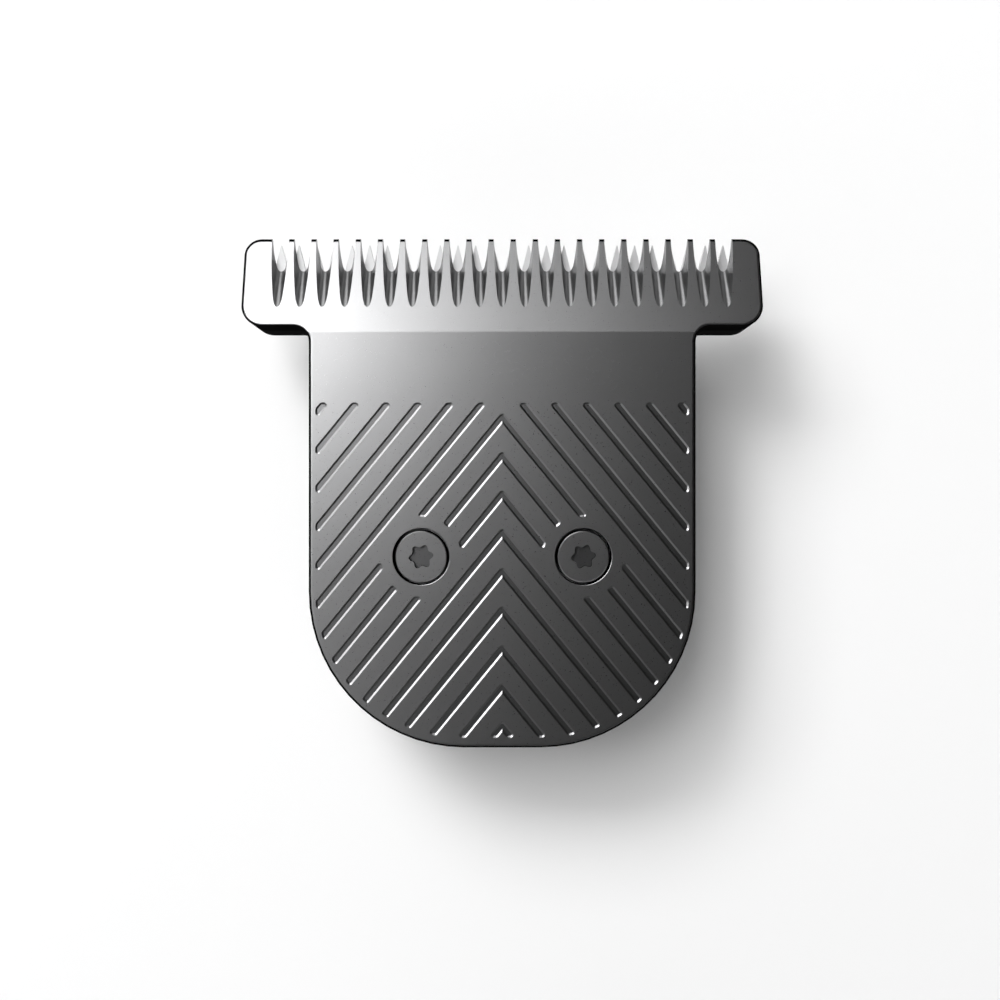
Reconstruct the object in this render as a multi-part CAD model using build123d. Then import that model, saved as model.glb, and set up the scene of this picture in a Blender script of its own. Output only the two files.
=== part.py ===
from build123d import *
import math
import os

# T-blade head of a hair trimmer, in millimetres.
# +Y points to the tooth tips, +Z is the plate's outward normal, and the head stands on the rim
# of its plastic frame at z = 0, with the origin under the middle of its outline.

# Outline of the head, seen from above
head_length = 38.68         # tail to tooth tips
bar_width = 39.5            # across the two ears of the T
bar_depth = 7.02            # tooth tips to the rear edge of the ears
body_width = 29.1
tail_radius = 11.7
ear_front_radius = 1.3
ear_rear_radius = 1.75
neck_radius = 1.15          # hollow corner between ear and body

# Comb plate
plate_thickness = 2.4
tip_thickness = 0.3
bevel_length = 7.41         # tooth tips to the crease
crease_round = 0.7
edge_bevel = 0.12
relief_depth = 0.2          # hollow in the underside, behind the cutting land
relief_land = 5.2           # cutting land, from the tips to the hollow
relief_length = 8.0
relief_edge = 4.0           # land left at each side of the body

# Comb teeth, with ground gaps whose section is a three-centred arch
tooth_pitch = 1.70
tooth_tip_width = 0.36
ear_tooth_width = 1.9       # least width of the blank end at each ear
gap_section_depth = 1.75    # square to the ground trough
gap_bottom_radius = 0.40
gap_reach = 2.42            # tips to the end of the open slot
gap_runout = 5.1            # tips to where the trough runs out on the bevel

# Chevron grip grooves
chevron_pitch = 2.892       # between apexes
chevron_angle = 50.7        # arms, from square to the length
groove_width = 0.54
groove_depth = 0.09
groove_draft = 54.0         # lean of the groove walls
field_setback = 5.36        # crease to the front line of the grooves
first_apex_drop = 0.69      # front line to the first whole apex
field_side_margin = 0.55
field_tail_margin = 0.8
field_screw_radius = 3.0    # plain disc round each screw
field_screw_sides = 36
smallest_groove = 0.015     # volume under which a clipped groove is left out

# Screws, with a six-lobe drive
screw_side = 8.46           # side of the body to the screw axis
screw_from_tail = 14.36
screw_diameter = 2.0
screw_length = 5.6          # under the head
screw_head_diameter = 3.9
screw_head_height = 1.5
screw_head_sink = 0.04
screw_head_edge = 0.08
head_clearance = 0.19
shank_clearance = 0.12
thread_clearance = 0.02
pilot_room = 0.4            # hole left under the screw's end
drive_outer = 1.86
drive_inner = 1.40
drive_lobe_points = 8       # corners that draw each lobe
drive_depth = 0.5
drive_turn = 8.0

# Cutter
cutter_thickness = 0.9
running_gap = 0.02          # comb to cutter
cutter_setback = 0.46       # cutter tips behind the comb tips
cutter_pitch = 1.36
cutter_tooth_length = 2.4
cutter_tip_width = 0.06
cutter_root_width = 0.10
cutter_edge_thickness = 0.35
cutter_bar_depth = 1.35     # solid bar behind the teeth
cutter_end_width = 0.30     # least width beside the end teeth
cutter_cover = 0.65         # ear edge beyond the cutter at full travel
tongue_margin = 0.8         # carrier edge to the rear edge of the tongue
tongue_corner = 1.0

# Travel and clearances of the slide
stroke = 1.0                # to each side
travel_clearance = 0.35
guide_clearance = 0.06
side_clearance = 0.4
cutter_clearance = 0.35     # frame to cutter, behind it
channel_clearance = 0.15    # frame to cutter, below it

# Cutter carrier
carrier_depth = 6.4
carrier_thickness = 1.8
carrier_corner = 0.6
pin_diameter = 2.0
pin_fit = 0.02
pin_edge = 3.2              # carrier end to pin axis
pin_sink = 0.1
fork_slot = 4.6
fork_wall = 1.6
fork_roof = 1.0
fork_floor_gap = 0.5
fork_boss_gap = 0.9
fork_slot_entry = 1.9       # slot end ahead of the carrier's rear edge

# Base frame
rim_thickness = 2.9
spigot_height = 4.1
spigot_inset = 1.5
spigot_wall = 1.5
spigot_corner = 2.0
spigot_lead = 0.4
cavity_corner = 0.5
floor_thickness = 1.0
floor_front = 3.9           # floor kept behind the front wall
window_margin = 0.45        # floor kept between the window and its neighbours
window_corner = 1.2
boss_diameter = 4.4
rib_thickness = 1.2
rib_drop = 0.2
post_width = 2.0            # posts that carry the spring's arms
post_length = 1.6
post_gap = 0.05
hook_width = 5.0
hook_wall = 1.3
hook_clearance = 0.1
catch_width = 3.0           # front catches
catch_reach = 0.9
catch_height = 1.2
catch_inset = 3.5
ridge_length = 7.0          # snap ridges on the sides
ridge_reach = 0.45
ridge_height = 2.4
latch_width = 6.0           # catch at the tail
latch_reach = 0.5
latch_height = 2.4
latch_rise = 0.9

# Pressure spring
strip_width = 0.9
strip_thickness = 0.3
spring_contact_gap = 0.03
spring_side_gap = 0.3
arm_reach = 3.0             # arm end ahead of the carrier's rear edge
arm_edge = 1.2              # carrier end to arm end, at full travel
cross_bar_setback = 4.5     # screw bosses to the cross bar
cross_bar_bend = 2.0

# Levels and stations worked out from those sizes
tip_y = head_length / 2
tail_y = -head_length / 2
ear_rear_y = tip_y - bar_depth
crease_y = tip_y - bevel_length
body_half = body_width / 2
cut_plane = spigot_height + rim_thickness
plate_top = cut_plane + plate_thickness

screw_x = body_half - screw_side
screw_y = tail_y + screw_from_tail
screw_places = [(-screw_x, screw_y), (screw_x, screw_y)]
head_top = plate_top - screw_head_sink
head_seat = head_top - screw_head_height
screw_end_z = head_seat - screw_length

field_front = crease_y - field_setback

cutter_top = cut_plane - running_gap
cutter_bottom = cutter_top - cutter_thickness
cutter_tip_y = tip_y - cutter_setback
cutter_root_y = cutter_tip_y - cutter_tooth_length
cutter_rear_y = cutter_root_y - cutter_bar_depth
cutter_half = bar_width / 2 - stroke - cutter_cover

cavity_inset = spigot_inset + spigot_wall
cavity_half = body_half - cavity_inset
cavity_front = ear_rear_y - spigot_wall
frame_front = cutter_rear_y - cutter_clearance
boss_radius = boss_diameter / 2

carrier_half = cavity_half - stroke - travel_clearance
carrier_front = cavity_front - guide_clearance
carrier_rear = carrier_front - carrier_depth
carrier_bottom = cutter_bottom - carrier_thickness
tongue_rear = carrier_rear + tongue_margin
pin_x = carrier_half - pin_edge
pin_y = (carrier_front + tongue_rear) / 2
pin_places = [(-pin_x, pin_y), (pin_x, pin_y)]
fork_half = fork_slot / 2 + fork_wall
fork_rear = screw_y + boss_radius + fork_boss_gap
fork_end = carrier_rear + fork_slot_entry
fork_bottom = floor_thickness + fork_floor_gap

rib_inner = fork_half + stroke + side_clearance
window_half = rib_inner - window_margin
window_rear = screw_y + boss_radius + window_margin
window_front = cavity_front - floor_front

strip_half = strip_width / 2
strip_top = carrier_bottom - spring_contact_gap
strip_bottom = strip_top - strip_thickness
arm_tip_x = carrier_half - stroke - arm_edge
arm_tip_y = carrier_rear + arm_reach
cross_bar_y = screw_y - boss_radius - cross_bar_setback


def outline_half_width(y, inset):
    """Half width of the body outline at y, set in by a wall."""
    centre_y = tail_y + tail_radius
    if y >= centre_y:
        return body_half - inset
    return body_half - tail_radius + math.sqrt((tail_radius - inset) ** 2 - (y - centre_y) ** 2)


arm_root_x = outline_half_width(cross_bar_y - strip_half, cavity_inset) - spring_side_gap - strip_half
arm_slope = (arm_root_x - arm_tip_x) / (arm_tip_y - cross_bar_y)


def centred_places(span, pitch):
    """Places of an evenly pitched row, centred on x = 0, that fits in a span."""
    count = int(span / pitch) + 1
    return [(index - (count - 1) / 2) * pitch for index in range(count)]


def box_between(x0, x1, y0, y1, z0, z1):
    """Box between two corners."""
    return Pos((x0 + x1) / 2, (y0 + y1) / 2, (z0 + z1) / 2) * Box(x1 - x0, y1 - y0, z1 - z0)


def rectangle_between(x0, x1, y0, y1):
    """Rectangle between two corners."""
    return Pos((x0 + x1) / 2, (y0 + y1) / 2) * Rectangle(x1 - x0, y1 - y0)


def rear_rounded(sketch, radius):
    """The sketch with its two rear corners rounded."""
    return fillet(sketch.vertices().sort_by(Axis.Y)[:2], radius)


def front_rounded(sketch, radius):
    """The sketch with its two front corners rounded."""
    return fillet(sketch.vertices().sort_by(Axis.Y)[-2:], radius)


def body_sketch(side_inset, tail_inset, front_y):
    """Body of the T set in at its sides and tail, up to a front line."""
    half = body_half - side_inset
    return rear_rounded(rectangle_between(-half, half, tail_y + tail_inset, front_y),
                        tail_radius - tail_inset)


def t_sketch():
    """Outline of the whole head, with round ears and hollow neck corners."""
    bar = rectangle_between(-bar_width / 2, bar_width / 2, ear_rear_y, tip_y)
    bar = front_rounded(rear_rounded(bar, ear_rear_radius), ear_front_radius)
    outline = bar + body_sketch(0, 0, tip_y - bar_depth / 2)
    necks = [v for v in outline.vertices()
             if abs(abs(v.X) - body_half) < 0.001 and abs(v.Y - ear_rear_y) < 0.001]
    return fillet(necks, neck_radius)


def plate_blank():
    """T plate with its toothed band sloped and its upper edge bevelled."""
    slab = extrude(Pos(0, 0, cut_plane) * t_sketch(), plate_thickness)
    side = Polygon(
        (tail_y, cut_plane), (tip_y, cut_plane), (tip_y, cut_plane + tip_thickness),
        (crease_y, plate_top), (tail_y, plate_top), align=None)
    side = fillet([v for v in side.vertices() if abs(v.X - crease_y) < 0.001], crease_round)
    blank = slab & extrude(Plane.YZ * side, bar_width, both=True)
    walls = [face for face in blank.faces() if abs(face.normal_at().Z) < 0.001]
    rim = [edge for wall in walls for edge in wall.edges()
           if edge.center().Z > cut_plane + tip_thickness / 2 and abs(edge.tangent_at(0.5).Z) < 0.9]
    return chamfer(rim, edge_bevel)


def gap_section():
    """Section of a ground trough: a round bottom that flows into two flatter side arcs."""
    half_width = (tooth_pitch - tooth_tip_width) / 2
    rise = gap_section_depth - gap_bottom_radius
    side_radius = ((half_width ** 2 + rise ** 2 - gap_bottom_radius ** 2)
                   / (2 * (half_width - gap_bottom_radius)))
    bottom_centre = Vector(0, gap_bottom_radius)
    side_centre = Vector(half_width - side_radius, gap_section_depth)
    outward = (bottom_centre - side_centre).normalized()
    meet = bottom_centre + outward * gap_bottom_radius
    side_middle = side_centre + (outward + Vector(1, 0)).normalized() * side_radius
    right = ThreePointArc(meet, side_middle, (half_width, gap_section_depth))
    bottom = ThreePointArc((-meet.X, meet.Y), (0, 0), meet)
    left = ThreePointArc((-half_width, gap_section_depth), (-side_middle.X, side_middle.Y),
                         (-meet.X, meet.Y))
    return make_face([left, bottom, right, Line(right @ 1, left @ 0)])


def tooth_gaps():
    """Ground troughs between the comb teeth, sloping down to the tips."""
    bevel_slope = (plate_thickness - tip_thickness) / bevel_length
    fall = (tip_thickness + bevel_slope * gap_runout) / (gap_runout - gap_reach)
    along = Vector(0, 1, -fall).normalized()
    start = Vector(0, tip_y - gap_reach, cut_plane) - along * gap_runout
    row = centred_places(bar_width - 2 * ear_tooth_width - tooth_pitch + tooth_tip_width, tooth_pitch)
    section = Plane(start, x_dir=(-1, 0, 0), z_dir=along) * gap_section()
    trough = extrude(section, amount=2 * gap_runout, dir=along)
    return [Pos(x, 0, 0) * trough for x in row]


def groove_field():
    """Slab that the grip grooves keep to, with leaning walls at its edge and round the screws."""
    lean = groove_depth * math.tan(math.radians(groove_draft))
    field = extrude(body_sketch(field_side_margin, field_tail_margin, field_front),
                    groove_depth, taper=groove_draft)
    disc = RegularPolygon(field_screw_radius + lean, field_screw_sides, major_radius=False)
    island = mirror(extrude(disc, groove_depth, taper=groove_draft), Plane.XY)
    return field - [Pos(x, y, groove_depth) * island for x, y in screw_places]


def grip_grooves():
    """Chevron grooves with leaning walls, clipped to their field, upside down at z = 0."""
    rise = body_half * math.tan(math.radians(chevron_angle))
    drop = groove_width / math.cos(math.radians(chevron_angle))
    first_apex = field_front - first_apex_drop
    ahead = int(rise / chevron_pitch) + 1
    behind = int((first_apex - tail_y) / chevron_pitch) + 1
    chevron = Polygon(
        (0, 0), (-body_half, -rise), (-body_half, -rise - drop),
        (0, -drop), (body_half, -rise - drop), (body_half, -rise), align=None)
    bar = extrude(chevron, groove_depth, taper=groove_draft)
    field = groove_field()
    grooves = []
    for index in range(-ahead, behind):
        clipped = field & Pos(0, first_apex - index * chevron_pitch, 0) * bar
        grooves += [solid for solid in clipped.solids() if solid.volume > smallest_groove]
    return [Pos(0, 0, plate_top) * mirror(groove, Plane.XY) for groove in grooves]


def plate_screw_holes():
    """Counterbored holes for the two screws."""
    holes = []
    for x, y in screw_places:
        holes.append(Pos(x, y, plate_top) * Cylinder(
            screw_head_diameter / 2 + head_clearance, 2 * (plate_top - head_seat)))
        holes.append(Pos(x, y, plate_top) * Cylinder(
            screw_diameter / 2 + shank_clearance, 3 * plate_thickness))
    return holes


def underside_relief():
    """Shallow hollow behind the cutting land."""
    half = body_half - relief_edge
    front_y = tip_y - relief_land
    return box_between(-half, half, front_y - relief_length, front_y,
                       cut_plane - relief_depth, cut_plane + relief_depth)


def comb_plate():
    """Fixed blade."""
    return plate_blank() - [
        *tooth_gaps(), *grip_grooves(), *plate_screw_holes(), underside_relief()]


def cutter_sketch():
    """Outline of the cutter: pointed teeth, bar and narrower tongue."""
    row = centred_places(2 * cutter_half - 2 * cutter_end_width - cutter_pitch, cutter_pitch)
    root_half = (cutter_pitch - cutter_root_width) / 2
    tip_half = cutter_tip_width / 2
    zigzag = [(cutter_half, cutter_rear_y), (cutter_half, cutter_root_y)]
    for x in reversed(row):
        zigzag += [(x + root_half, cutter_root_y), (x + tip_half, cutter_tip_y),
                   (x - tip_half, cutter_tip_y), (x - root_half, cutter_root_y)]
    zigzag += [(-cutter_half, cutter_root_y), (-cutter_half, cutter_rear_y)]
    tongue = rear_rounded(
        rectangle_between(-carrier_half, carrier_half, tongue_rear, cutter_root_y), tongue_corner)
    return Polygon(*zigzag, align=None) + tongue


def cutter_blade():
    """Moving blade, thinned from below towards its tooth tips."""
    blade = extrude(Pos(0, 0, cutter_bottom) * cutter_sketch(), cutter_thickness)
    thinning = Polygon(
        (cutter_root_y, cutter_bottom), (cutter_tip_y, cutter_bottom),
        (cutter_tip_y, cutter_top - cutter_edge_thickness), align=None)
    blade -= extrude(Plane.YZ * thinning, bar_width, both=True)
    for x, y in pin_places:
        blade -= Pos(x, y, cutter_bottom) * Cylinder(pin_diameter / 2 + pin_fit, 3 * cutter_thickness)
    return blade


def cutter_carrier():
    """Plastic slide with two pins for the cutter and a fork for the drive cam."""
    plan = rectangle_between(-carrier_half, carrier_half, carrier_rear, carrier_front)
    carrier = extrude(Pos(0, 0, carrier_bottom) * fillet(plan.vertices(), carrier_corner),
                      carrier_thickness)
    carrier += box_between(-fork_half, fork_half, fork_rear, fork_end + fork_wall,
                           fork_bottom, cutter_bottom)
    slot_half = fork_slot / 2
    slot = rectangle_between(-slot_half, slot_half, fork_rear - fork_slot, fork_end - slot_half)
    slot += Pos(0, fork_end - slot_half) * Circle(slot_half)
    carrier -= extrude(slot, cutter_bottom - fork_roof)
    pin_height = cutter_thickness - pin_sink
    for x, y in pin_places:
        carrier += Pos(x, y, cutter_bottom + pin_height / 2) * Cylinder(pin_diameter / 2, pin_height)
    return carrier


def frame_shell():
    """Rim under the plate, spigot wall and floor, hollowed from above."""
    front_cut = rectangle_between(-bar_width, bar_width, frame_front, tip_y + bar_depth)
    rim = extrude(Pos(0, 0, spigot_height) * (t_sketch() - front_cut), rim_thickness)
    spigot = extrude(
        front_rounded(body_sketch(spigot_inset, spigot_inset, ear_rear_y), spigot_corner), spigot_height)
    spigot = chamfer(spigot.faces().sort_by(Axis.Z)[0].edges(), spigot_lead)
    cavity = front_rounded(body_sketch(cavity_inset, cavity_inset, cavity_front), cavity_corner)
    shell = rim + spigot - extrude(Pos(0, 0, floor_thickness) * cavity, cut_plane)
    return shell - box_between(
        -cavity_half, cavity_half, cavity_front - cavity_corner, tip_y,
        cutter_bottom - channel_clearance, plate_top)


def frame_inner_parts():
    """Screw bosses, guide ribs, spring posts and the hook that holds the spring down."""
    parts = []
    for x, y in screw_places:
        parts.append(Pos(x, y, cut_plane / 2) * Cylinder(boss_radius, cut_plane))
    rib_front = carrier_rear - guide_clearance
    rib_outer = arm_tip_x - strip_half - side_clearance
    rib = box_between(rib_inner, rib_outer, rib_front - rib_thickness, rib_front,
                      floor_thickness, cutter_bottom - rib_drop)
    post_y = cross_bar_y + cross_bar_bend + post_length
    post_x = arm_tip_x + (arm_tip_y - post_y) * arm_slope
    post = box_between(post_x - post_width / 2, post_x + post_width / 2, post_y - post_length / 2,
                       post_y + post_length / 2, floor_thickness, strip_bottom - post_gap)
    for part in (rib, post):
        parts += [part, mirror(part, Plane.YZ)]
    hook_face = cross_bar_y - strip_half - hook_clearance
    nose_bottom = strip_top + hook_clearance
    hook = box_between(-hook_width / 2, hook_width / 2, hook_face - hook_wall, hook_face,
                       floor_thickness, nose_bottom + hook_wall)
    hook += box_between(-hook_width / 2, hook_width / 2, hook_face - hook_wall,
                        cross_bar_y + strip_half, nose_bottom, nose_bottom + hook_wall)
    parts.append(hook)
    return parts


def frame_outer_parts():
    """Catches and snap ridges that hold the head on the trimmer."""
    parts = []
    catch_x = cavity_half - catch_inset
    for x in (-catch_x, catch_x):
        parts.append(box_between(x - catch_width / 2, x + catch_width / 2,
                                 ear_rear_y - spigot_wall, ear_rear_y + catch_reach,
                                 spigot_lead, spigot_lead + catch_height))
    side_x = body_half - spigot_inset
    for x in (-side_x, side_x):
        parts.append(Pos(x, 0, ridge_height) * Rot(0, 45, 0) * Box(
            ridge_reach * math.sqrt(2), ridge_length, ridge_reach * math.sqrt(2)))
    wall_y = tail_y + spigot_inset
    wedge = Polygon(
        (wall_y + latch_reach, latch_height - latch_rise), (wall_y, latch_height - latch_rise),
        (wall_y - latch_reach, latch_height), (wall_y + latch_reach, latch_height), align=None)
    parts.append(extrude(Plane.YZ * wedge, latch_width / 2, both=True))
    return parts


def frame_openings():
    """Screw pilots, drive window and the core hole under the hook."""
    cuts = []
    pilot_bottom = screw_end_z - pilot_room
    for x, y in screw_places:
        cuts.append(Pos(x, y, (pilot_bottom + plate_top) / 2) * Cylinder(
            screw_diameter / 2 + thread_clearance, plate_top - pilot_bottom))
    window = rectangle_between(-window_half, window_half, window_rear, window_front)
    cuts.append(extrude(fillet(window.vertices(), window_corner), 2 * floor_thickness, both=True))
    hook_face = cross_bar_y - strip_half - hook_clearance
    cuts.append(box_between(-hook_width / 2, hook_width / 2, hook_face, cross_bar_y + strip_half,
                            -floor_thickness, 2 * floor_thickness))
    return cuts


def base_frame():
    """Plastic seat of the head."""
    return frame_shell() + frame_inner_parts() + frame_outer_parts() - frame_openings()


def six_lobe_sketch():
    """Outline of the six-lobe drive."""
    middle = (drive_outer + drive_inner) / 4
    wave = (drive_outer - drive_inner) / 4
    count = 6 * drive_lobe_points
    turns = [2 * math.pi * index / count for index in range(count)]
    reach = [middle + wave * math.cos(6 * turn) for turn in turns]
    return Polygon(*[(radius * math.cos(turn), radius * math.sin(turn))
                     for radius, turn in zip(reach, turns)], align=None)


def plate_screw():
    """One cheese-head screw, its axis on Z at the origin."""
    head = Pos(0, 0, (head_top + head_seat) / 2) * Cylinder(screw_head_diameter / 2, screw_head_height)
    head = chamfer(head.edges().sort_by(Axis.Z)[-1], screw_head_edge)
    shank = Pos(0, 0, (head_seat + screw_end_z) / 2) * Cylinder(screw_diameter / 2, screw_length)
    drive = Pos(0, 0, head_top) * Rot(0, 0, drive_turn) * six_lobe_sketch()
    return head + shank - extrude(drive, -drive_depth)


def plate_screws():
    """The two screws that hold the plate on the frame."""
    return Compound(children=[Pos(x, y, 0) * plate_screw() for x, y in screw_places])


def pressure_spring():
    """Strip spring: two arms under the carrier and a cross bar under the frame's hook."""
    inner, outer = [
        rear_rounded(
            Polygon((arm_tip_x + side, arm_tip_y), (-arm_tip_x - side, arm_tip_y),
                    (-arm_root_x - side, cross_bar_y - side), (arm_root_x + side, cross_bar_y - side),
                    align=None),
            cross_bar_bend + side)
        for side in (-strip_half, strip_half)]
    return extrude(Pos(0, 0, strip_bottom) * (outer - inner), strip_thickness)


pieces = {
    "comb_plate": comb_plate(),
    "cutter_blade": cutter_blade(),
    "cutter_carrier": cutter_carrier(),
    "base_frame": base_frame(),
    "plate_screws": plate_screws(),
    "pressure_spring": pressure_spring(),
}

os.makedirs("parts", exist_ok=True)
for name, piece in pieces.items():
    export_step(piece, os.path.join("parts", name + ".step"))
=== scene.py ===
"""Looks of a hair trimmer's T-blade head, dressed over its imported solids.

Every length is in metres, in the frame of the solids: +Y to the tooth tips, +Z out of the plate.
"""

import logging
import math
from collections.abc import Callable
from dataclasses import dataclass, replace
from enum import Enum, IntEnum
from functools import cache
from typing import Any

import bmesh
import bpy
from bmesh.types import BMesh, BMFace, BMVert
from bpy.types import ID, Material, Mesh, MeshPolygon, Node, NodeSocket, NodeTree, Object, World
from mathutils import Matrix, Vector


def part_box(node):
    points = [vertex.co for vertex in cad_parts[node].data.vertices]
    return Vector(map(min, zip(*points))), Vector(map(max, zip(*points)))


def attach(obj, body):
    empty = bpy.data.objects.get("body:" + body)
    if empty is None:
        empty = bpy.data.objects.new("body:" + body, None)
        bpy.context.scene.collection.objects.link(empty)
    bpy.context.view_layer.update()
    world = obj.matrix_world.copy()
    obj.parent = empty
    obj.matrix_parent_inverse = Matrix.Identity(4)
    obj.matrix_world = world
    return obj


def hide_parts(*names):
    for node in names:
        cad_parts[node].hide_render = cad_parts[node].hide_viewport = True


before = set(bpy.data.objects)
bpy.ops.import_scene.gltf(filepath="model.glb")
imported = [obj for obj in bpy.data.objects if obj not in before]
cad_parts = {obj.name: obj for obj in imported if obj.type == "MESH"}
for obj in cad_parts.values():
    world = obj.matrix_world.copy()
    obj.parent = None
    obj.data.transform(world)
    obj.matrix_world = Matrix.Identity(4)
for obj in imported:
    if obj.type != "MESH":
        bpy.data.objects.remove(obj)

LOG = logging.getLogger("blade_head")
MM = 0.001
STEP = 0.001 * MM       # rise between the two rings of a flat shoulder
LEVEL = 0.999           # upward part of the normal above which a face counts as level
TONE_STOPS = (0.3, 0.7)

Colour = tuple[float, float, float]


class Body(Enum):
    """Bodies of the head that its pieces ride on."""

    HEAD = "head"
    CUTTER = "cutter"


class Edge(Enum):
    """Edge roundings that the pieces' makers leave, as a width in metres."""

    GROUND = 0.025 * MM
    MOULDED = 0.10 * MM


class Skin(IntEnum):
    """Finishes of the comb plate and its screws, by the number of the material on their faces; all but the
    top carry painted shade.
    """

    TOP = 0
    SIDE = 1
    GROOVE = 2
    GAP = 3


class NodeGraph:
    """A node tree with a short way to add and link its nodes."""

    def __init__(self, tree: NodeTree) -> None:
        """Keeps the tree that the nodes go into."""
        self.tree = tree

    def add(self, kind: str, inputs: dict[str | int, Any] | None = None, **settings: Any) -> Node:
        """Adds a node.

        Args:
            kind: The node's Blender type.
            inputs: A value or a source socket for each input, by name or number.
            settings: Properties of the node, set before its sockets are read.

        Returns:
            The new node.
        """
        node = self.tree.nodes.new(kind)
        for name, value in settings.items():
            setattr(node, name, value)
        for key, value in (inputs or {}).items():
            self.feed(node.inputs[key], value)
        return node

    def feed(self, socket: NodeSocket, value: Any) -> None:
        """Links a source socket to an input, or sets the input's own value.

        Args:
            socket: The input.
            value: A source socket or a plain value.
        """
        if isinstance(value, NodeSocket):
            self.tree.links.new(value, socket)
        else:
            socket.default_value = value

    def maths(self, operation: str, first: Any, second: Any = 0.0) -> NodeSocket:
        """Adds a sum, product or the like of two numbers and returns its result."""
        return self.add("ShaderNodeMath", {0: first, 1: second}, operation=operation).outputs[0]

    def vector(self, x: Any = 0.0, y: Any = 0.0, z: Any = 0.0) -> NodeSocket:
        """Joins three numbers or source sockets to a vector and returns it."""
        return self.add("ShaderNodeCombineXYZ", {"X": x, "Y": y, "Z": z}).outputs[0]


def emptied(owner: Material | World) -> NodeGraph:
    """Clears the nodes of a material or world and returns their graph."""
    owner.use_nodes = True
    owner.node_tree.nodes.clear()
    return NodeGraph(owner.node_tree)


def linked(name: str, data: ID) -> Object:
    """Makes an object of a mesh, light or camera and links it to the scene."""
    item = bpy.data.objects.new(name, data)
    bpy.context.scene.collection.objects.link(item)
    return item


@dataclass(frozen=True)
class Finish:
    """A surface finish: a colour with a fine grain that roughens and dimples it."""

    name: str
    colour: Colour
    roughness: float
    metallic: float
    grain_size: float
    grain_height: float
    grain_roughness: float
    tone_size: float
    tone_spread: float
    gloss: float = 0.5
    grain_detail: float = 2.0
    grain_fade: float = 0.6
    tone_detail: float = 3.0

    def material(self) -> Material:
        """Builds the finish as a material.

        Returns:
            The new material.
        """
        material = bpy.data.materials.new(self.name)
        graph = emptied(material)
        place = graph.add("ShaderNodeTexCoord").outputs["Object"]
        grain = graph.add("ShaderNodeTexNoise", {
            "Vector": place, "Scale": 1 / self.grain_size, "Detail": self.grain_detail,
            "Roughness": self.grain_fade})
        tone = graph.add("ShaderNodeTexNoise", {
            "Vector": place, "Scale": 1 / self.tone_size, "Detail": self.tone_detail})
        roughness = graph.add("ShaderNodeMapRange", {
            "Value": grain.outputs["Fac"],
            "To Min": self.roughness - self.grain_roughness,
            "To Max": self.roughness + self.grain_roughness})
        bump = graph.add("ShaderNodeBump", {
            "Height": grain.outputs["Fac"], "Strength": 1.0, "Distance": self.grain_height})
        shader = graph.add("ShaderNodeBsdfPrincipled", {
            "Base Color": self.toned(graph, tone.outputs["Fac"]),
            "Metallic": self.metallic,
            "Specular IOR Level": self.gloss,
            "Roughness": roughness.outputs["Result"],
            "Normal": bump.outputs["Normal"]})
        graph.add("ShaderNodeOutputMaterial", {"Surface": shader.outputs["BSDF"]})
        return material

    def toned(self, graph: NodeGraph, tone: NodeSocket) -> NodeSocket:
        """Spreads the colour a little lighter and darker.

        Args:
            graph: The material's node graph.
            tone: A value from 0 to 1 that wanders over the surface.

        Returns:
            The socket that gives the toned colour.
        """
        ramp = graph.add("ShaderNodeValToRGB", {"Fac": tone})
        shares = (1 - self.tone_spread, 1 + self.tone_spread)
        for stop, position, share in zip(ramp.color_ramp.elements, TONE_STOPS, shares):
            stop.position = position
            stop.color = (*(share * part for part in self.colour), 1.0)
        return ramp.outputs["Color"]


COMB_STEEL = Finish(
    name="blasted_dark_steel", colour=(0.40, 0.40, 0.405), roughness=0.28, metallic=1.0,
    grain_size=0.11 * MM, grain_height=0.0002 * MM, grain_roughness=0.015,
    tone_size=4.0 * MM, tone_spread=0.02)
# Painted shade: a darker copy of the plate steel on the grooves' floors and on the floors of the screws'
# drives.
COMB_GROOVE = replace(COMB_STEEL, name="shaded_groove_steel", colour=(0.23, 0.23, 0.234))
# Ground steel in the troughs, coloured darker than the plate steel as painted shade.
COMB_GAP = replace(COMB_STEEL, name="ground_gap_steel", colour=(0.27, 0.27, 0.273), roughness=0.36)
# Painted shade: a near-black, unreflecting finish on the plate's sides, rim roundings and tooth tips, and on
# the screws' walls.
PAINTED_SHADE_SIDE = Finish(
    name="blackened_side", colour=(0.004, 0.004, 0.004), roughness=0.80, metallic=0.0,
    grain_size=0.11 * MM, grain_height=0.002 * MM, grain_roughness=0.05,
    tone_size=4.0 * MM, tone_spread=0.04, gloss=0.0)
CUTTER_STEEL = Finish(
    name="ground_steel", colour=(0.75, 0.75, 0.755), roughness=0.55, metallic=1.0,
    grain_size=0.09 * MM, grain_height=0.0003 * MM, grain_roughness=0.02,
    tone_size=3.0 * MM, tone_spread=0.03)
SCREW_STEEL = replace(COMB_STEEL, name="dark_screw_steel", grain_size=0.10 * MM, tone_size=2.0 * MM)
SPRING_STEEL = Finish(
    name="rolled_spring_steel", colour=(0.520, 0.515, 0.505), roughness=0.28, metallic=1.0,
    grain_size=0.20 * MM, grain_height=0.001 * MM, grain_roughness=0.04,
    tone_size=2.0 * MM, tone_spread=0.04)
FRAME_PLASTIC = Finish(
    name="black_moulded_plastic", colour=(0.014, 0.014, 0.015), roughness=0.62, metallic=0.0,
    grain_size=0.16 * MM, grain_height=0.006 * MM, grain_roughness=0.06,
    tone_size=6.0 * MM, tone_spread=0.05, gloss=0.2)
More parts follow.
